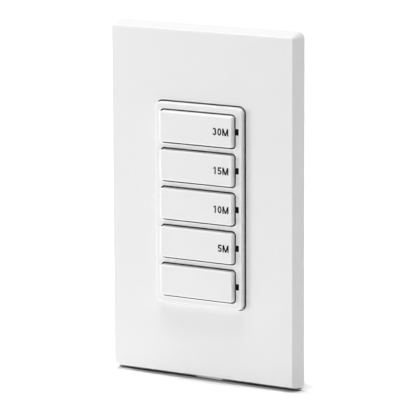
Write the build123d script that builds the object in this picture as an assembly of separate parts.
from build123d import *
import os

# A preset countdown timer for room lights, in a screwless one-gang wallplate.
# Millimetres. +X is the viewer's right and +Z is up. The front faces -Y and the wall is the plane y = 0.
# The origin is the middle of the wallplate, on the wall.

# One overrun for every cutting tool, and the play between pieces that only just clear each other
overrun = 1.0
play = 0.1

# Buttons, top to bottom: the minutes they run for, and the blank one that switches off
button_names = ["30", "15", "10", "5", "off"]
button_width = 27.4
button_height = 10.4
button_corner_radius = 1.0
button_edge_radius = 0.4
button_proud = 1.7
button_lean = 0.2
button_gap = 0.5
button_bar = 1.3
button_shell = 1.2
button_travel = 0.5
lug_reach = 0.9
lug_height = 2.0
lug_margin = 0.6
lug_depth = 1.1
rib_thickness = 0.9
rib_depth = 1.8

# Indicator windows, at the right of each button, on one smoked strip
window_width = 1.1
window_height = 2.1
window_fit = 0.05
window_sunk = 0.12
strip_spine = 1.0
strip_gap = 0.6
led_size = 1.6
led_height = 0.8
led_gap = 0.3

# Bezel: the frame round the buttons, in the opening of the cover
bezel_end_rim = 2.05
bezel_side_gap = 0.15
bezel_corner_radius = 2.0
bezel_edge_radius = 0.4
bezel_proud = 1.85
bezel_face = 1.6
bezel_wall = 0.85
plate_side_gap = 0.5
plate_end_gap = 0.35
leg_width = 5.0
leg_end_margin = 11.65
leg_hook = 0.9
leg_hook_depth = 1.3
leg_clearance = 0.15

# Wallplate cover: how wide it is, how far it reaches past the strap, and how its sides lean in
plate_width = 71.3
plate_end_margin = 6.15
plate_draft = 1.7
plate_wall = 1.6
plate_corner_radius = 2.3
plate_inner_radius = 0.5
plate_edge_radius = 0.35
plate_lip_radius = 0.3
pry_slot_width = 10.0
pry_slot_depth = 1.1
catch_length = 9.0
catch_spacing = 64.0
catch_hold = 0.5
catch_depth = 1.1
catch_clearance = 0.2

# Subplate: what the cover snaps on to
subplate_thickness = 1.6
subplate_corner_radius = 1.6
subplate_fit = 0.3
subplate_stand = 0.3
subplate_edge = 0.4
subplate_window_gap = 0.85
skirt_thickness = 1.2
skirt_inset = 1.2
skirt_wall_gap = 0.3
boss_rim = 1.7
relief_width = 8.0
relief_height = 20.0
relief_radius = 1.5
screw_window_side = 2.5
screw_window_end = 0.8

# Mounting strap: steel sheet. Its screws and ears lie out from the housing by the margins that wall boxes set
strap_thickness = 1.2
strap_wall_gap = 0.2
strap_neck_width = 16.0
strap_window_side = 0.05
strap_window_end = 0.7
box_screw_margin = 7.65
plate_screw_margin = 6.75
strap_end_margin = 4.0
ear_width = 34.0
ear_height = 11.2
ear_radius = 3.0
ear_score_width = 0.8
ear_score_margin = 1.4
ear_score_share = 0.56
box_slot_width = 7.4
box_slot_height = 4.4
tab_margin = 0.8

# Screws: a number 6 machine screw in three forms, a small assembly screw and a terminal screw
number_six_radius = 1.75
thread_fit = 0.03
point_chamfer = 0.5
box_head_radius = 3.5
box_head_height = 1.7
box_neck_radius = 1.35
box_neck_length = 2.6
box_screw_length = 24.0
retainer_size = 8.0
retainer_thickness = 0.8
plate_head_radius = 3.5
plate_head_lift = 0.15
plate_screw_length = 8.0
ground_head_radius = 3.2
ground_head_height = 2.2
ground_screw_length = 5.6
assembly_radius = 1.25
assembly_head_radius = 2.3
assembly_head_height = 1.5
assembly_tip = 0.6
terminal_radius = 1.75
terminal_head_radius = 3.6
terminal_head_height = 1.9
terminal_screw_length = 2.8
slot_width = 0.9
slot_depth_share = 0.3
dome_share = 0.35

# Rear housing: the tray behind the strap
housing_side_margin = 4.7
housing_end_margin = 0.85
housing_wall = 1.6
housing_floor = 1.8
housing_corner_radius = 2.5
housing_taper_depth = 5.5
housing_taper_x = 3.6
housing_taper_z = 0.6
column_side_inset = 7.2
column_end_gap = 0.8
counterbore_cover = 0.7
counterbore_fit = 0.2
bay_height = 10.0
bay_depth = 3.2
bay_front = 7.9
bay_wall = 1.2
bay_spacing = 8.0
rail_gap = 3.0
rail_width = 2.0

# Strip gauge: the groove in the back, as long as the bare end of wire that a terminal takes
gauge_length = 16.0
gauge_width = 2.6
gauge_depth = 0.6
gauge_side_gap = 3.0

# Terminals
terminal_plate = 1.0
terminal_margin = 0.5
tab_width = 3.0
tab_thickness = 0.8
tab_edge_gap = 1.2

# Boards, and the gaps between the parts that stand on them
control_board_thickness = 1.2
control_board_side = 0.9
control_board_end = 1.4
control_board_radius = 1.0
power_board_standoff = 3.1
power_board_thickness = 1.6
power_board_side = 0.5
power_board_end = 0.75
power_board_radius = 1.0
board_edge_gap = 0.8
part_gap_x = 0.6
part_gap_z = 3.5
film_side_gap = 2.2
header_edge = 5.2
pad_size = 3.6
pad_inset = 0.4
pin_size = 0.6
pin_fit = 0.1
pin_through = 1.2

# Push switches on the control board
switch_size = 6.0
switch_height = 3.4
switch_cover = 0.3
switch_strap_gap = 0.3
switch_foot_width = 0.7
switch_foot_height = 0.4
switch_foot_reach = 1.2
switch_foot_pitch = 4.5
plunger_radius = 1.7
plunger_margin = 0.2
plunger_depth = 1.2
plunger_fit = 0.1
post_radius = 2.1

# Parts on the boards
chip_size = 7.0
chip_height = 1.4
chip_chamfer = 0.5
chip_lead_width = 0.4
chip_lead_reach = 1.0
chip_lead_count = 7
crystal_x = -9.0
crystal_length = 8.0
crystal_radius = 1.6
header_pitch = 2.54
header_count = 4
header_width = 2.5
header_socket_height = 8.5
header_strip_height = 2.5
relay_width = 16.0
relay_height = 20.0
relay_depth = 15.5
relay_radius = 0.6
relay_foot = 0.4
relay_side_gap = 1.2
film_width = 8.0
film_height = 18.0
film_depth = 13.0
film_radius = 0.9
can_radius = 5.0
can_length = 13.0
can_edge_radius = 0.6
can_groove = 0.35
varistor_radius = 5.4
varistor_thickness = 4.2
varistor_stand = 1.6
fuse_radius = 4.1
fuse_length = 7.6
choke_radius = 4.6
choke_length = 9.0
choke_flange = 1.2
choke_waist_share = 0.8
rectifier_width = 6.2
rectifier_height = 8.4
rectifier_depth = 3.0
rectifier_chamfer = 0.6

# Key-ways of the buttons, and the bezel that holds them in a column
key_width = button_width + 2 * button_gap
key_height = button_height + 2 * button_gap
key_radius = button_corner_radius + button_gap
button_pitch = key_height + button_bar
button_places = [
    (name, ((len(button_names) - 1) / 2 - row) * button_pitch) for row, name in enumerate(button_names)
]
top_button_z = button_places[0][1]
lug_spacing = button_height - lug_height - 2 * lug_margin
window_x = key_width / 2 + window_width / 2
bezel_width = key_width + 2 * (window_width + bezel_side_gap + bezel_wall)
bezel_height = 2 * (top_button_z + key_height / 2 + bezel_end_rim)
bezel_inner_x = bezel_width / 2 - bezel_wall
leg_spacing = bezel_height - leg_width - 2 * leg_end_margin
opening_width = bezel_width + 2 * plate_side_gap
opening_height = bezel_height + 2 * plate_end_gap
opening_radius = bezel_corner_radius + plate_end_gap

# The power board, as wide and high as the two columns of parts that stand on it
power_board_width = board_edge_gap + 2 * varistor_radius + part_gap_x + relay_width
power_board_width = power_board_width + relay_side_gap + tab_thickness + tab_edge_gap
power_board_height = relay_height + film_height + header_width + 4 * part_gap_z
left_column_parts = varistor_thickness + 2 * (fuse_radius + choke_radius + can_radius)
left_column_gap = (power_board_height - left_column_parts) / 5

# The housing, as wide and high as the bezel and the power board need
column_radius = assembly_head_radius + counterbore_fit + play
column_end_inset = column_radius + column_end_gap
board_side = power_board_side + housing_wall + bay_depth
board_end = power_board_end + column_radius + column_end_inset
housing_width = max(bezel_width + 2 * housing_side_margin, power_board_width + 2 * board_side)
housing_height = max(bezel_height + 2 * housing_end_margin, power_board_height + 2 * board_end)
column_x = housing_width / 2 - column_side_inset
column_z = housing_height / 2 - column_end_inset
counterbore_depth = assembly_head_height + counterbore_cover
bay_floor_x = housing_width / 2 - bay_depth
bay_back_x = bay_floor_x - housing_wall
rail_z = column_z - column_radius - rail_gap - rail_width / 2
control_board_width = housing_width - 2 * (housing_wall + control_board_side)
control_board_height = housing_height - 2 * (housing_wall + control_board_end)
pad_x = power_board_width / 2 - pad_inset - pad_size / 2
pad_z = power_board_height / 2 - pad_size / 2

# From the housing out to the box screws, the plate screws, the ends of the strap and the plate.
# With these margins the box screws are 83.3 apart and the plate screws 96.8, as one-gang boxes need.
box_screw_spacing = housing_height + 2 * box_screw_margin
plate_screw_spacing = box_screw_spacing + 2 * plate_screw_margin
strap_length = plate_screw_spacing + 2 * strap_end_margin
plate_height = strap_length + 2 * plate_end_margin
strap_window_width = 2 * (window_x + window_width / 2 + strap_window_side)
strap_window_height = 2 * (top_button_z + post_radius + strap_window_end)
screw_window_width = 2 * (box_head_radius + screw_window_side)
screw_window_height = 2 * (box_head_radius + screw_window_end)
boss_radius = plate_head_radius + boss_rim
plate_head_height = subplate_thickness + subplate_stand - plate_head_lift
ear_z = strap_length / 2 - ear_height / 2
tab_height = 2 * ground_head_radius
tab_depth = 2 * (ground_head_radius + tab_margin)
tab_z = -(housing_height / 2 + tab_margin + tab_height / 2)

# Places on the power board. The relay, the film capacitor and the header stand in the right column.
tab_leg_x = power_board_width / 2 - tab_edge_gap - tab_thickness
relay_x = tab_leg_x - relay_side_gap - relay_width / 2
relay_z = power_board_height / 2 - part_gap_z - relay_height / 2
film_x = tab_leg_x - film_side_gap - film_width / 2
film_z = relay_z - relay_height / 2 - part_gap_z - film_height / 2
header_x = power_board_width / 2 - header_edge
header_z = film_z - film_height / 2 - part_gap_z - header_width / 2
left_x = -(power_board_width / 2 - board_edge_gap - varistor_radius)
varistor_z = power_board_height / 2 - left_column_gap - varistor_thickness / 2
fuse_z = varistor_z - varistor_thickness / 2 - left_column_gap - fuse_radius
choke_z = fuse_z - fuse_radius - left_column_gap - choke_radius
can_z = choke_z - choke_radius - left_column_gap - can_radius
rectifier_x = (left_x + choke_radius + film_x - film_width / 2) / 2
rectifier_z = film_z

# The terminals. The row of the upper two is between the varistor and the fuse, where their tabs pass.
upper_bay_z = fuse_z + fuse_radius + left_column_gap / 2
lower_bay_z = upper_bay_z - bay_height - bay_spacing
line_load_bays = [(1, upper_bay_z), (1, lower_bay_z)]
neutral_bays = [(-1, upper_bay_z)]
terminal_length = bay_height - 2 * terminal_margin
terminal_face_x = bay_floor_x + terminal_plate
terminal_back_y = bay_front + terminal_margin + terminal_length
terminal_axis_y = bay_front + bay_height / 2
gauge_x = bay_back_x - gauge_side_gap - gauge_width / 2
gauge_z = (upper_bay_z + lower_bay_z) / 2

# Depths, from the wall forward to the button faces
strap_back_y = -strap_wall_gap
strap_front_y = strap_back_y - strap_thickness
subplate_back_y = strap_front_y - subplate_stand
subplate_front_y = subplate_back_y - subplate_thickness
plate_inner_y = subplate_front_y - subplate_fit
plate_face_y = plate_inner_y - plate_wall
plate_lean = plate_draft / -plate_face_y
bezel_face_y = plate_face_y - bezel_proud
bezel_back_y = bezel_face_y + bezel_face
button_face_y = bezel_face_y - button_proud
lug_front_y = bezel_back_y + play
lug_back_y = lug_front_y + lug_depth
subplate_half_width = plate_width / 2 - plate_wall + plate_lean * subplate_front_y - subplate_fit
subplate_half_height = plate_height / 2 - plate_wall + plate_lean * subplate_front_y - subplate_fit

# Depths, from the wall back to the floor of the housing, which the tallest part on the power board sets
cover_front_y = strap_back_y + switch_strap_gap
switch_front_y = cover_front_y + switch_cover
control_front_y = switch_front_y + switch_height
control_back_y = control_front_y + control_board_thickness
plunger_front_y = cover_front_y - button_travel - plunger_margin
led_front_y = control_front_y - led_height
tallest_part = max(relay_depth, film_depth, can_length, varistor_stand + 2 * varistor_radius)
power_front_y = control_back_y + chip_height + play + tallest_part
power_back_y = power_front_y + power_board_thickness
housing_floor_y = power_back_y + power_board_standoff
housing_back_y = housing_floor_y + housing_floor
taper_y = housing_back_y - housing_taper_depth


def facing(y):
    """A sketch plane at depth y. Sketch x is +X, sketch y is +Z, and its normal points at the viewer."""
    return Plane(origin=(0, y, 0), x_dir=(1, 0, 0), z_dir=(0, -1, 0))


def slab(outline, back, front):
    """An outline carried from depth back forward to depth front."""
    return extrude(facing(back) * outline, amount=back - front)


def block(x_limits, y_limits, z_limits):
    """A box between two limits on each axis."""
    limits = (x_limits, y_limits, z_limits)
    middle = [(low + high) / 2 for low, high in limits]
    size = [abs(high - low) for low, high in limits]
    return Pos(*middle) * Box(*size)


def both_sides(piece):
    """A piece and its mirror image across the plane x = 0."""
    return piece + mirror(piece, about=Plane.YZ)


def all_quarters(piece):
    """A piece mirrored across x = 0 and then across z = 0."""
    half = both_sides(piece)
    return half + mirror(half, about=Plane.XY)


def front_face(piece):
    """The face of a piece nearest to the viewer."""
    return piece.faces().sort_by(Axis.Y)[0]


def plate_outline(y, inset):
    """The outline of the cover at depth y, drawn in by an inset. Its sides lean in towards the front."""
    step = inset - plate_lean * y
    radius = max(plate_corner_radius - step, plate_inner_radius)
    return RectangleRounded(plate_width - 2 * step, plate_height - 2 * step, radius)


def plate_loft(back, front, inset):
    """The drafted body between two depths, drawn in by an inset."""
    sections = [facing(y) * plate_outline(y, inset) for y in (back, front)]
    return loft(sections, ruled=True)


def cover_catch():
    """One wedge on the right wall of the cover, which snaps behind the flange of the subplate."""
    front_y = subplate_back_y + catch_clearance
    back_y = front_y + catch_depth
    tip_x = subplate_half_width - catch_hold
    root_x = plate_width / 2 - plate_wall / 2 + plate_lean * front_y
    heel_x = plate_width / 2 - plate_wall + plate_lean * back_y
    outline = Polyline((root_x, front_y), (tip_x, front_y), (heel_x, back_y), (root_x, back_y), close=True)
    wedge = extrude(make_face(outline), amount=catch_length / 2, both=True)
    return Pos(0, 0, catch_spacing / 2) * wedge


def wallplate_cover():
    """The snap-on cover: a drafted shell with the opening for the bezel and a pry slot below."""
    outline = RectangleRounded(opening_width, opening_height, opening_radius)
    opening = slab(outline, 0, plate_face_y - overrun)
    cover = plate_loft(0, plate_face_y, 0) - plate_loft(overrun, plate_inner_y, plate_wall) - opening
    cover = fillet(front_face(cover).outer_wire().edges(), plate_edge_radius)
    cover = fillet(front_face(cover).inner_wires()[0].edges(), plate_lip_radius)
    cover = cover + all_quarters(cover_catch())
    slot_top = -plate_height / 2 + plate_wall + overrun
    slot_bottom = -plate_height / 2 - overrun
    slot_x = (-pry_slot_width / 2, pry_slot_width / 2)
    return cover - block(slot_x, (-pry_slot_depth, overrun), (slot_bottom, slot_top))


def wallplate_subplate():
    """The frame under the cover: a flange to snap over, a skirt to the wall and bosses on the strap."""
    width = 2 * subplate_half_width
    height = 2 * subplate_half_height
    outline = RectangleRounded(width, height, subplate_corner_radius)
    flange = slab(outline, subplate_back_y, subplate_front_y)
    flange = chamfer(front_face(flange).outer_wire().edges(), subplate_edge)
    skirt_width = width - 2 * skirt_inset
    skirt_height = height - 2 * skirt_inset
    skirt = RectangleRounded(skirt_width, skirt_height, subplate_corner_radius)
    skirt_hole = Rectangle(skirt_width - 2 * skirt_thickness, skirt_height - 2 * skirt_thickness)
    plate = flange + slab(skirt - skirt_hole, -skirt_wall_gap, subplate_back_y)
    boss = Circle(boss_radius)
    for end in (-1, 1):
        plate = plate + slab(Pos(0, end * plate_screw_spacing / 2) * boss, strap_front_y, subplate_back_y)
    window_gap = 2 * subplate_window_gap
    holes = RectangleRounded(bezel_width + window_gap, bezel_height + window_gap, bezel_corner_radius)
    screw_window = RectangleRounded(screw_window_width, screw_window_height, relief_radius)
    relief = RectangleRounded(relief_width, relief_height, relief_radius)
    relief_x = (bezel_width / 2 + subplate_half_width) / 2
    for end in (-1, 1):
        holes = holes + Pos(0, end * box_screw_spacing / 2) * screw_window
        for side in (-1, 1):
            holes = holes + Pos(side * relief_x, end * relief_height * 3 / 4) * relief
    plate = plate - slab(holes, overrun, subplate_front_y - overrun)
    sink = Cone(number_six_radius + play, plate_head_radius + play, plate_head_height)
    shaft = Cylinder(number_six_radius + play, plate_screw_length)
    for end in (-1, 1):
        seat = facing(subplate_front_y) * Pos(0, end * plate_screw_spacing / 2)
        plate = plate - seat * Pos(0, 0, -plate_head_height / 2) * sink - seat * shaft
    return plate


def mounting_strap():
    """The steel strap: body, necks, ears, the holes that wall boxes set, and a bent tab for the earth."""
    neck = Rectangle(strap_neck_width, strap_length - ear_height)
    outline = RectangleRounded(housing_width, housing_height, housing_corner_radius) + neck
    ear = RectangleRounded(ear_width, ear_height, ear_radius)
    score = Rectangle(ear_score_width, ear_height - 2 * ear_score_margin)
    slot = SlotOverall(box_slot_width, box_slot_height)
    tapped = Circle(number_six_radius + thread_fit)
    for end in (-1, 1):
        outline = outline + Pos(0, end * ear_z) * ear
    window_radius = bezel_corner_radius - bezel_wall
    outline = outline - RectangleRounded(strap_window_width, strap_window_height, window_radius)
    for end in (-1, 1):
        outline = outline - Pos(0, end * box_screw_spacing / 2) * slot
        outline = outline - Pos(0, end * plate_screw_spacing / 2) * tapped
        for side in (-1, 1):
            outline = outline - Pos(side * ear_score_share * ear_width / 2, end * ear_z) * score
            outline = outline - Pos(side * column_x, end * column_z) * Circle(assembly_radius + thread_fit)
    notch_x = (strap_window_width / 2 - overrun, bezel_width / 2 + leg_clearance)
    leg_half = leg_width / 2 + leg_clearance
    notch_z = (leg_spacing / 2 - leg_half, leg_spacing / 2 + leg_half)
    notch = block(notch_x, (overrun, strap_front_y - overrun), notch_z)
    strap = slab(outline, strap_back_y, strap_front_y) - all_quarters(notch)
    tab_x = (-strap_neck_width / 2, -strap_neck_width / 2 + strap_thickness)
    tab_end = strap_back_y + tab_depth
    tab = block(tab_x, (strap_back_y, tab_end), (tab_z - tab_height / 2, tab_z + tab_height / 2))
    hole = Plane.YZ * Pos(strap_back_y + tab_depth / 2, tab_z) * Circle(number_six_radius + thread_fit)
    return strap + tab - extrude(hole, amount=strap_neck_width, both=True)


def bezel_leg():
    """One snap leg of the bezel, with its hook behind the strap."""
    wall_x = bezel_width / 2
    hook_y = strap_back_y + play
    leg_z = (leg_spacing / 2 - leg_width / 2, leg_spacing / 2 + leg_width / 2)
    leg = block((wall_x - bezel_wall, wall_x), (bezel_back_y, hook_y + leg_hook_depth), leg_z)
    outline = Polyline(
        (wall_x - bezel_wall, hook_y),
        (wall_x + leg_hook, hook_y),
        (wall_x, hook_y + leg_hook_depth),
        (wall_x - bezel_wall, hook_y + leg_hook_depth),
        close=True,
    )
    hook = Pos(0, 0, leg_spacing / 2) * extrude(make_face(outline), amount=leg_width / 2, both=True)
    return leg + hook


def bezel():
    """The frame round the buttons: a face with a key-way for each button, walls and four snap legs."""
    outline = RectangleRounded(bezel_width, bezel_height, bezel_corner_radius)
    body = slab(outline, strap_front_y, bezel_face_y)
    body = fillet(front_face(body).edges(), bezel_edge_radius)
    inner_radius = bezel_corner_radius - bezel_wall
    inner = RectangleRounded(2 * bezel_inner_x, bezel_height - 2 * bezel_wall, inner_radius)
    body = body - slab(inner, strap_front_y + overrun, bezel_back_y)
    keyways = Sketch()
    for _, z in button_places:
        keyways = keyways + Pos(0, z) * RectangleRounded(key_width, key_height, key_radius)
        keyways = keyways + Pos(window_x - window_width / 2, z) * Rectangle(2 * window_width, window_height)
    body = body - slab(keyways, bezel_back_y + overrun, bezel_face_y - overrun)
    return body + all_quarters(bezel_leg())


def button_cap(z):
    """A hollow key cap with a post to its switch, a stiffening rib and four lugs behind the bezel."""
    root = RectangleRounded(button_width, button_height, button_corner_radius)
    tip_width = button_width - 2 * button_lean
    tip_height = button_height - 2 * button_lean
    tip = RectangleRounded(tip_width, tip_height, button_corner_radius - button_lean)
    cap = slab(root, lug_back_y, bezel_face_y)
    cap = cap + loft([facing(bezel_face_y) * root, facing(button_face_y) * tip], ruled=True)
    cap = fillet(front_face(cap).edges(), button_edge_radius)
    pocket = Rectangle(button_width - 2 * button_shell, button_height - 2 * button_shell)
    roof_y = button_face_y + button_shell
    cap = cap - slab(pocket, lug_back_y + overrun, roof_y)
    rib = Rectangle(button_width - button_shell, rib_thickness)
    rib = rib + Rectangle(rib_thickness, button_height - button_shell)
    cap = cap + slab(rib, roof_y + rib_depth, roof_y)
    cap = cap + slab(Circle(post_radius), plunger_front_y, roof_y)
    lug_x = (button_width / 2 - button_shell, button_width / 2 + lug_reach)
    lug_z = (lug_spacing / 2 - lug_height / 2, lug_spacing / 2 + lug_height / 2)
    cap = cap + all_quarters(block(lug_x, (lug_back_y, lug_front_y), lug_z))
    return Pos(0, 0, z) * cap


def plunger(z):
    """The stem of one push switch, which the post of the button rests on."""
    stem = slab(Circle(plunger_radius), switch_front_y + plunger_depth, plunger_front_y)
    return Pos(0, 0, z) * stem


def tact_switch_bases():
    """Five switch bodies on the control board, each with a well for its plunger and four feet."""
    half = switch_size / 2
    body = slab(Rectangle(switch_size, switch_size), control_front_y, switch_front_y)
    well_back_y = switch_front_y + plunger_depth + button_travel + play
    body = body - slab(Circle(plunger_radius + plunger_fit), well_back_y, switch_front_y - overrun)
    foot_z = (switch_foot_pitch / 2 - switch_foot_width / 2, switch_foot_pitch / 2 + switch_foot_width / 2)
    foot_y = (control_front_y - switch_foot_height, control_front_y)
    body = body + all_quarters(block((half, half + switch_foot_reach), foot_y, foot_z))
    return Compound(children=[Pos(0, 0, z) * body for _, z in button_places])


def tact_switch_covers():
    """Five thin steel lids over the switch bodies, open at the plunger."""
    outline = Rectangle(switch_size, switch_size) - Circle(plunger_radius + plunger_fit)
    lid = slab(outline, switch_front_y, cover_front_y)
    return Compound(children=[Pos(0, 0, z) * lid for _, z in button_places])


def light_pipe():
    """The smoked strip: five pipes from the windows to their lamps, on one spine behind the lugs."""
    width = window_width - 2 * window_fit
    height = window_height - 2 * window_fit
    front_y = bezel_face_y + window_sunk
    back_y = led_front_y - led_gap
    spine_y = lug_back_y + button_travel + strip_gap
    top_z = top_button_z + height / 2
    x_limits = (window_x - width / 2, window_x + width / 2)
    strip = block(x_limits, (spine_y, spine_y + strip_spine), (-top_z, top_z))
    for _, z in button_places:
        strip = strip + block(x_limits, (front_y, back_y), (z - height / 2, z + height / 2))
    return strip


def indicator_leds():
    """Five surface lamps on the control board, one behind each pipe."""
    lamp = slab(Rectangle(led_size, led_size), control_front_y, led_front_y)
    lamp = chamfer(front_face(lamp).edges(), led_height / 4)
    return Compound(children=[Pos(window_x, 0, z) * lamp for _, z in button_places])


def slotted(head, radius, top, height):
    """A screw head with a cross recess and a full slot, cut down from its top by a share of its height."""
    depth = slot_depth_share * height
    bottom = top - depth
    place = Pos(0, 0, (top + bottom + overrun) / 2)
    full = place * Box(2 * radius + overrun, slot_width, depth + overrun)
    cross = place * Box(slot_width, radius, depth + overrun)
    return head - full - cross


def screw_shank(radius, length):
    """A threaded shank from the seat down, with a chamfered point."""
    shank = Pos(0, 0, -length / 2) * Cylinder(radius, length)
    return chamfer(shank.edges().sort_by(Axis.Z)[0], point_chamfer)


def domed_head(radius, height):
    """A low domed screw head on its seat."""
    shoulder = height * (1 - dome_share)
    profile = Polyline((0, height), (0, 0), (radius, 0), (radius, shoulder))
    crown = ThreePointArc((radius, shoulder), (radius / 2, height - height * dome_share / 4), (0, height))
    return revolve(Plane.XZ * make_face(profile + crown), axis=Axis.Z)


def box_screws():
    """The two screws into the wall box, with a thin neck that the retainer holds."""
    head = domed_head(box_head_radius, box_head_height)
    head = slotted(head, box_head_radius, box_head_height, box_head_height)
    neck = Pos(0, 0, -box_neck_length / 2) * Cylinder(box_neck_radius, box_neck_length)
    thread_length = box_screw_length - box_neck_length
    thread = Pos(0, 0, -box_neck_length) * screw_shank(number_six_radius, thread_length)
    screw = head + neck + thread
    seats = [facing(strap_front_y) * Pos(0, end * box_screw_spacing / 2) for end in (-1, 1)]
    return Compound(children=[seat * screw for seat in seats])


def screw_retainers():
    """Two fibre washers behind the strap that keep the box screws from falling out."""
    outline = RectangleRounded(retainer_size, retainer_size, retainer_size / 4)
    washer = slab(outline - Circle(box_neck_radius + play), strap_back_y + retainer_thickness, strap_back_y)
    return Compound(children=[Pos(0, 0, end * box_screw_spacing / 2) * washer for end in (-1, 1)])


def subplate_screws():
    """The two countersunk screws through the subplate into the strap."""
    cone = Cone(number_six_radius, plate_head_radius, plate_head_height)
    head = slotted(Pos(0, 0, -plate_head_height / 2) * cone, plate_head_radius, 0, plate_head_height)
    shank = screw_shank(number_six_radius, plate_screw_length - plate_head_height)
    screw = head + Pos(0, 0, -plate_head_height) * shank
    seats = [facing(subplate_front_y) * Pos(0, end * plate_screw_spacing / 2) for end in (-1, 1)]
    return Compound(children=[seat * screw for seat in seats])


def sideways(side, x, y, z):
    """A place whose +Z points out of one side of the housing."""
    return Plane(origin=(side * x, y, z), x_dir=(0, 1, 0), z_dir=(side, 0, 0))


def ground_screw():
    """The six-sided earth screw on the bent tab."""
    head = extrude(RegularPolygon(ground_head_radius, 6), amount=ground_head_height)
    head = slotted(head, ground_head_radius, ground_head_height, ground_head_height)
    screw = head + screw_shank(number_six_radius, ground_screw_length)
    return sideways(-1, strap_neck_width / 2, strap_back_y + tab_depth / 2, tab_z) * screw


def housing_outline(y, inset):
    """The outline of the housing at depth y, drawn in by an inset. Past the taper depth it narrows."""
    share = max(0, (y - taper_y) / housing_taper_depth)
    width = housing_width - 2 * (inset + share * housing_taper_x)
    height = housing_height - 2 * (inset + share * housing_taper_z)
    return RectangleRounded(width, height, housing_corner_radius - inset)


def housing_body(front, back, inset):
    """The solid between two depths: a straight stretch and then the taper."""
    straight = slab(housing_outline(taper_y, inset), taper_y, front)
    taper = loft([facing(y) * housing_outline(y, inset) for y in (taper_y, back)], ruled=True)
    return straight + taper


def terminal_bay(side, z, grow):
    """The space of one wire terminal, open to the side and the back, grown by a wall where asked."""
    reach = bay_floor_x if grow == 0 else bay_back_x
    x_limits = (side * reach, side * (housing_width / 2 + overrun))
    half = bay_height / 2 + grow
    return block(x_limits, (bay_front - grow, housing_back_y + overrun), (z - half, z + half))


def rear_housing():
    """The tray behind the strap: screw columns, board rails, pads, open wire terminals and a strip gauge."""
    outside = housing_body(strap_back_y, housing_back_y, 0)
    tray = outside - housing_body(strap_back_y - overrun, housing_floor_y, housing_wall)
    bays = line_load_bays + neutral_bays
    inside = pad_posts() + rails() + columns()
    for side, z in bays:
        inside = inside + terminal_bay(side, z, bay_wall)
    tray = tray + (inside & outside)
    for side, z in bays:
        tray = tray - terminal_bay(side, z, 0)
        tray = tray - terminal_hole(side, z)
    shaft = Circle(assembly_radius + play)
    recess = Circle(assembly_head_radius + counterbore_fit)
    for x in (-column_x, column_x):
        for z in (-column_z, column_z):
            tray = tray - slab(Pos(x, z) * shaft, housing_back_y + overrun, strap_back_y - overrun)
            recess_front_y = housing_back_y - counterbore_depth
            tray = tray - slab(Pos(x, z) * recess, housing_back_y + overrun, recess_front_y)
    return tray - strip_gauge()


def strip_gauge():
    """The shallow groove in the back of the housing, beside the line and load terminals."""
    groove = SlotOverall(gauge_length, gauge_width, rotation=90)
    return slab(Pos(gauge_x, gauge_z) * groove, housing_back_y + overrun, housing_back_y - gauge_depth)


def columns():
    """Four round columns, from the strap to the floor, for the assembly screws."""
    column = slab(Pos(column_x, column_z) * Circle(column_radius), housing_back_y, strap_back_y)
    return all_quarters(column)


def rails():
    """Four upright rails on the side walls, which the control board rests on."""
    half = housing_width / 2
    rail_x = (control_board_width / 2 - housing_wall, half - housing_wall / 2)
    z_limits = (rail_z - rail_width / 2, rail_z + rail_width / 2)
    return all_quarters(block(rail_x, (control_back_y, housing_back_y), z_limits))


def pad_posts():
    """Four square pads on the floor, which the power board rests on."""
    pad = Pos(pad_x, pad_z) * Rectangle(pad_size, pad_size)
    return all_quarters(slab(pad, housing_back_y, power_back_y))


def terminal_hole(side, z):
    """The holes of one terminal through the floor of its bay: round for the screw, slit for the tab."""
    drill = Pos(0, 0, -bay_depth / 2) * Cylinder(terminal_radius + play, bay_depth + housing_wall)
    round_hole = sideways(side, bay_floor_x, terminal_axis_y, z) * drill
    slit_x = (side * (bay_back_x - overrun), side * (bay_floor_x + overrun))
    slit_y = (terminal_back_y - tab_thickness - play, terminal_back_y + play)
    slit_half = tab_width / 2 + play
    return round_hole + block(slit_x, slit_y, (z - slit_half, z + slit_half))


def housing_screws():
    """Four long screws from the back of the housing into the strap."""
    head = domed_head(assembly_head_radius, assembly_head_height)
    head = slotted(head, assembly_head_radius, assembly_head_height, assembly_head_height)
    seat_y = housing_back_y - counterbore_depth
    length = seat_y - strap_front_y + assembly_tip
    screw = head + screw_shank(assembly_radius, length)
    screws = []
    for x in (-column_x, column_x):
        for z in (-column_z, column_z):
            seat = Plane(origin=(x, seat_y, z), x_dir=(1, 0, 0), z_dir=(0, 1, 0))
            screws.append(seat * screw)
    return Compound(children=screws)


def terminal(side, z):
    """One contact plate in its bay, with a tab that passes inside and down through the power board."""
    half = bay_height / 2 - terminal_margin
    front_y = bay_front + terminal_margin
    plate = block((bay_floor_x, terminal_face_x), (front_y, terminal_back_y), (z - half, z + half))
    tab_z_limits = (z - tab_width / 2, z + tab_width / 2)
    tab_y = (terminal_back_y - tab_thickness, terminal_back_y)
    arm = block((tab_leg_x, bay_floor_x), tab_y, tab_z_limits)
    leg_y = (terminal_back_y - tab_thickness, power_back_y + pin_through)
    leg = block((tab_leg_x, tab_leg_x + tab_thickness), leg_y, tab_z_limits)
    piece = plate + arm + leg
    hole = Cylinder(terminal_radius + thread_fit, 2 * bay_depth)
    piece = piece - sideways(1, bay_floor_x, terminal_axis_y, z) * hole
    return piece if side > 0 else mirror(piece, about=Plane.YZ)


def terminal_screw(side, z):
    """One binding screw, seated on its contact plate."""
    head = domed_head(terminal_head_radius, terminal_head_height)
    head = slotted(head, terminal_head_radius, terminal_head_height, terminal_head_height)
    screw = head + screw_shank(terminal_radius, terminal_screw_length)
    return sideways(side, terminal_face_x, terminal_axis_y, z) * screw


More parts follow.
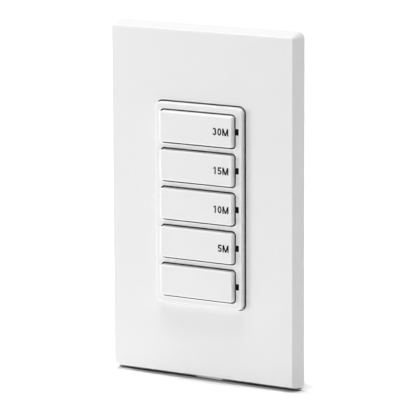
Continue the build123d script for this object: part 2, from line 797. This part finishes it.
def pin_places():
    """The pins through the power board, each as the middle and half spacings of its group."""
    half_row = (header_count - 1) / 2 * header_pitch
    places = [(header_x - half_row + n * header_pitch, header_z) for n in range(header_count)]
    groups = [
        (relay_x, relay_z, relay_width / 3, relay_height * 2 / 5),
        (film_x, film_z, 0, film_height * 2 / 5),
        (left_x, can_z, can_radius / 2, 0),
        (left_x, varistor_z, varistor_radius * 2 / 3, 0),
        (left_x, fuse_z, 0, fuse_radius * 3 / 5),
        (left_x, choke_z, choke_radius / 2, 0),
        (rectifier_x, rectifier_z, rectifier_width / 3, rectifier_height / 3),
    ]
    for x, z, reach_x, reach_z in groups:
        for place in sorted({(x + a * reach_x, z + b * reach_z) for a in (-1, 1) for b in (-1, 1)}):
            places.append(place)
    return places


def with_pins(piece, x, z, reach_x, reach_z, top_y):
    """A part of the power board with its square pins, which start inside it and pass through the board."""
    places = sorted({(x + a * reach_x, z + b * reach_z) for a in (-1, 1) for b in (-1, 1)})
    pin = Rectangle(pin_size, pin_size)
    for place in places:
        piece = piece + slab(Pos(*place) * pin, power_back_y + pin_through, top_y)
    return piece


def power_board():
    """The rear board, drilled for the pins of its parts and slit for the terminal tabs."""
    outline = RectangleRounded(power_board_width, power_board_height, power_board_radius)
    hole = Rectangle(pin_size + pin_fit, pin_size + pin_fit)
    for place in pin_places():
        outline = outline - Pos(*place) * hole
    slit = Rectangle(tab_thickness + 2 * play, tab_width + 2 * play)
    for side, z in line_load_bays + neutral_bays:
        outline = outline - Pos(side * (tab_leg_x + tab_thickness / 2), z) * slit
    return slab(outline, power_back_y, power_front_y)


def control_board():
    """The front board, which carries the switches and lamps, notched round the screw columns."""
    outline = RectangleRounded(control_board_width, control_board_height, control_board_radius)
    notch = Circle(column_radius + housing_wall / 4)
    for x in (-column_x, column_x):
        for z in (-column_z, column_z):
            outline = outline - Pos(x, z) * notch
    hole = Rectangle(pin_size + pin_fit, pin_size + pin_fit)
    half_row = (header_count - 1) / 2 * header_pitch
    for n in range(header_count):
        outline = outline - Pos(header_x - half_row + n * header_pitch, header_z) * hole
    return slab(outline, control_back_y, control_front_y)


def controller_chip():
    """The timing controller on the back of the control board, with leads on its four sides."""
    body = slab(Rectangle(chip_size, chip_size), control_back_y + chip_height, control_back_y + play)
    body = chamfer(body.edges().filter_by(Axis.Y), chip_chamfer)
    lead_y = (control_back_y, control_back_y + chip_height / 3)
    pitch = (chip_size - 2 * chip_chamfer) / chip_lead_count
    for n in range(chip_lead_count):
        middle = (n - (chip_lead_count - 1) / 2) * pitch
        lead = (middle - chip_lead_width / 2, middle + chip_lead_width / 2)
        reach = chip_size / 2 + chip_lead_reach
        body = body + block((-reach, -chip_size / 2 + play), lead_y, lead)
        body = body + block((chip_size / 2 - play, reach), lead_y, lead)
        body = body + block(lead, lead_y, (-reach, -chip_size / 2 + play))
        body = body + block(lead, lead_y, (chip_size / 2 - play, reach))
    return body


def clock_crystal():
    """The can of the clock crystal, lying on the back of the control board."""
    can = Cylinder(crystal_radius, crystal_length)
    can = fillet(can.edges(), crystal_radius / 4)
    lug_z = (0, crystal_length / 2 + pin_size)
    lug = block((-crystal_radius / 2, crystal_radius / 2), (-crystal_radius, 0), lug_z)
    return Pos(crystal_x, control_back_y + crystal_radius, 0) * (can + lug)


def header_pins():
    """The pin strip on the control board that plugs into the socket of the power board."""
    half_width = header_count * header_pitch / 2
    outline = Pos(header_x, header_z) * Rectangle(2 * half_width, header_width)
    strip = slab(outline, control_back_y + header_strip_height, control_back_y)
    pin = Rectangle(pin_size, pin_size)
    tip_y = power_front_y - header_socket_height / 2
    for n in range(header_count):
        x = header_x - half_width + (n + 1 / 2) * header_pitch
        strip = strip + slab(Pos(x, header_z) * pin, tip_y, control_front_y - pin_size)
    return strip


def header_socket():
    """The socket on the power board, with a square well for each pin."""
    half_width = header_count * header_pitch / 2
    top_y = power_front_y - header_socket_height
    socket = slab(Pos(header_x, header_z) * Rectangle(2 * half_width, header_width), power_front_y, top_y)
    well = Rectangle(pin_size + 2 * pin_fit, pin_size + 2 * pin_fit)
    pin = Rectangle(pin_size, pin_size)
    for n in range(header_count):
        place = Pos(header_x - half_width + (n + 1 / 2) * header_pitch, header_z)
        well_y = power_front_y - header_socket_height / 2 + play
        socket = socket - slab(place * well, well_y, top_y - overrun)
        socket = socket + slab(place * pin, power_back_y + pin_through, power_front_y)
    return socket


def relay():
    """The relay that switches the load: a rounded case with a step at its foot."""
    place = Pos(relay_x, relay_z)
    top_y = power_front_y - relay_depth
    outline = RectangleRounded(relay_width, relay_height, relay_radius)
    case = slab(place * outline, power_front_y - relay_foot, top_y)
    case = chamfer(front_face(case).edges(), relay_radius / 2)
    foot = Rectangle(relay_width - 2 * relay_radius, relay_height - 2 * relay_radius)
    case = case + slab(place * foot, power_front_y, power_front_y - relay_foot)
    return with_pins(case, relay_x, relay_z, relay_width / 3, relay_height * 2 / 5, power_front_y)


def film_capacitor():
    """The safety capacitor across the line: a rounded box."""
    outline = RectangleRounded(film_width, film_height, film_radius)
    case = slab(Pos(film_x, film_z) * outline, power_front_y, power_front_y - film_depth)
    case = fillet(front_face(case).edges(), film_radius / 2)
    return with_pins(case, film_x, film_z, 0, film_height * 2 / 5, power_front_y)


def electrolytic_capacitor():
    """The reservoir capacitor: a can with a rolled groove near its base."""
    groove_z = can_length / 6
    can = Pos(0, 0, can_length / 2) * Cylinder(can_radius, can_length)
    can = fillet(can.edges(), can_edge_radius)
    can = can - Pos(0, 0, groove_z) * Torus(can_radius + can_groove, 2 * can_groove)
    can = facing(power_front_y) * Pos(left_x, can_z) * can
    return with_pins(can, left_x, can_z, can_radius / 2, 0, power_front_y - pin_size)


def varistor():
    """The surge absorber: a coated disc that stands on its edge, on two legs."""
    disc = Cylinder(varistor_radius, varistor_thickness)
    disc = fillet(disc.edges(), varistor_thickness / 3)
    centre_y = power_front_y - varistor_stand - varistor_radius
    disc = Pos(left_x, centre_y, varistor_z) * disc
    return with_pins(disc, left_x, varistor_z, varistor_radius * 2 / 3, 0, centre_y)


def fuse():
    """The radial fuse: a short round cap."""
    cap = Pos(0, 0, fuse_length / 2) * Cylinder(fuse_radius, fuse_length)
    cap = fillet(cap.edges().sort_by(Axis.Z)[-1], fuse_radius / 6)
    cap = facing(power_front_y) * Pos(left_x, fuse_z) * cap
    return with_pins(cap, left_x, fuse_z, 0, fuse_radius * 3 / 5, power_front_y)


def choke():
    """The filter choke: a drum core with its winding between two flanges."""
    waist = choke_radius * choke_waist_share
    profile = Polyline(
        (0, 0),
        (choke_radius, 0),
        (choke_radius, choke_flange),
        (waist, choke_flange),
        (waist, choke_length - choke_flange),
        (choke_radius, choke_length - choke_flange),
        (choke_radius, choke_length),
        (0, choke_length),
        close=True,
    )
    drum = revolve(Plane.XZ * make_face(profile), axis=Axis.Z)
    drum = facing(power_front_y) * Pos(left_x, choke_z) * drum
    return with_pins(drum, left_x, choke_z, choke_radius / 2, 0, power_front_y)


def rectifier():
    """The bridge rectifier: a low block with chamfered corners."""
    outline = Pos(rectifier_x, rectifier_z) * Rectangle(rectifier_width, rectifier_height)
    body = slab(outline, power_front_y, power_front_y - rectifier_depth)
    body = chamfer(front_face(body).edges(), rectifier_chamfer)
    reach = (rectifier_width / 3, rectifier_height / 3)
    return with_pins(body, rectifier_x, rectifier_z, *reach, power_front_y)


pieces = {
    "wallplate_cover": wallplate_cover(),
    "wallplate_subplate": wallplate_subplate(),
    "subplate_screws": subplate_screws(),
    "mounting_strap": mounting_strap(),
    "box_screws": box_screws(),
    "screw_retainers": screw_retainers(),
    "ground_screw": ground_screw(),
    "bezel": bezel(),
    "tact_switch_bases": tact_switch_bases(),
    "tact_switch_covers": tact_switch_covers(),
    "light_pipe": light_pipe(),
    "indicator_leds": indicator_leds(),
    "control_board": control_board(),
    "controller_chip": controller_chip(),
    "clock_crystal": clock_crystal(),
    "header_pins": header_pins(),
    "header_socket": header_socket(),
    "power_board": power_board(),
    "relay": relay(),
    "film_capacitor": film_capacitor(),
    "electrolytic_capacitor": electrolytic_capacitor(),
    "varistor": varistor(),
    "fuse": fuse(),
    "choke": choke(),
    "rectifier": rectifier(),
    "rear_housing": rear_housing(),
    "housing_screws": housing_screws(),
    "line_load_terminals": Compound(children=[terminal(side, z) for side, z in line_load_bays]),
    "line_load_screws": Compound(children=[terminal_screw(side, z) for side, z in line_load_bays]),
    "neutral_terminal": terminal(*neutral_bays[0]),
    "neutral_screw": terminal_screw(*neutral_bays[0]),
}
for name, z in button_places:
    pieces[f"button_{name}"] = button_cap(z)
    pieces[f"plunger_{name}"] = plunger(z)

os.makedirs("parts", exist_ok=True)
for name, piece in pieces.items():
    export_step(piece, f"parts/{name}.step")
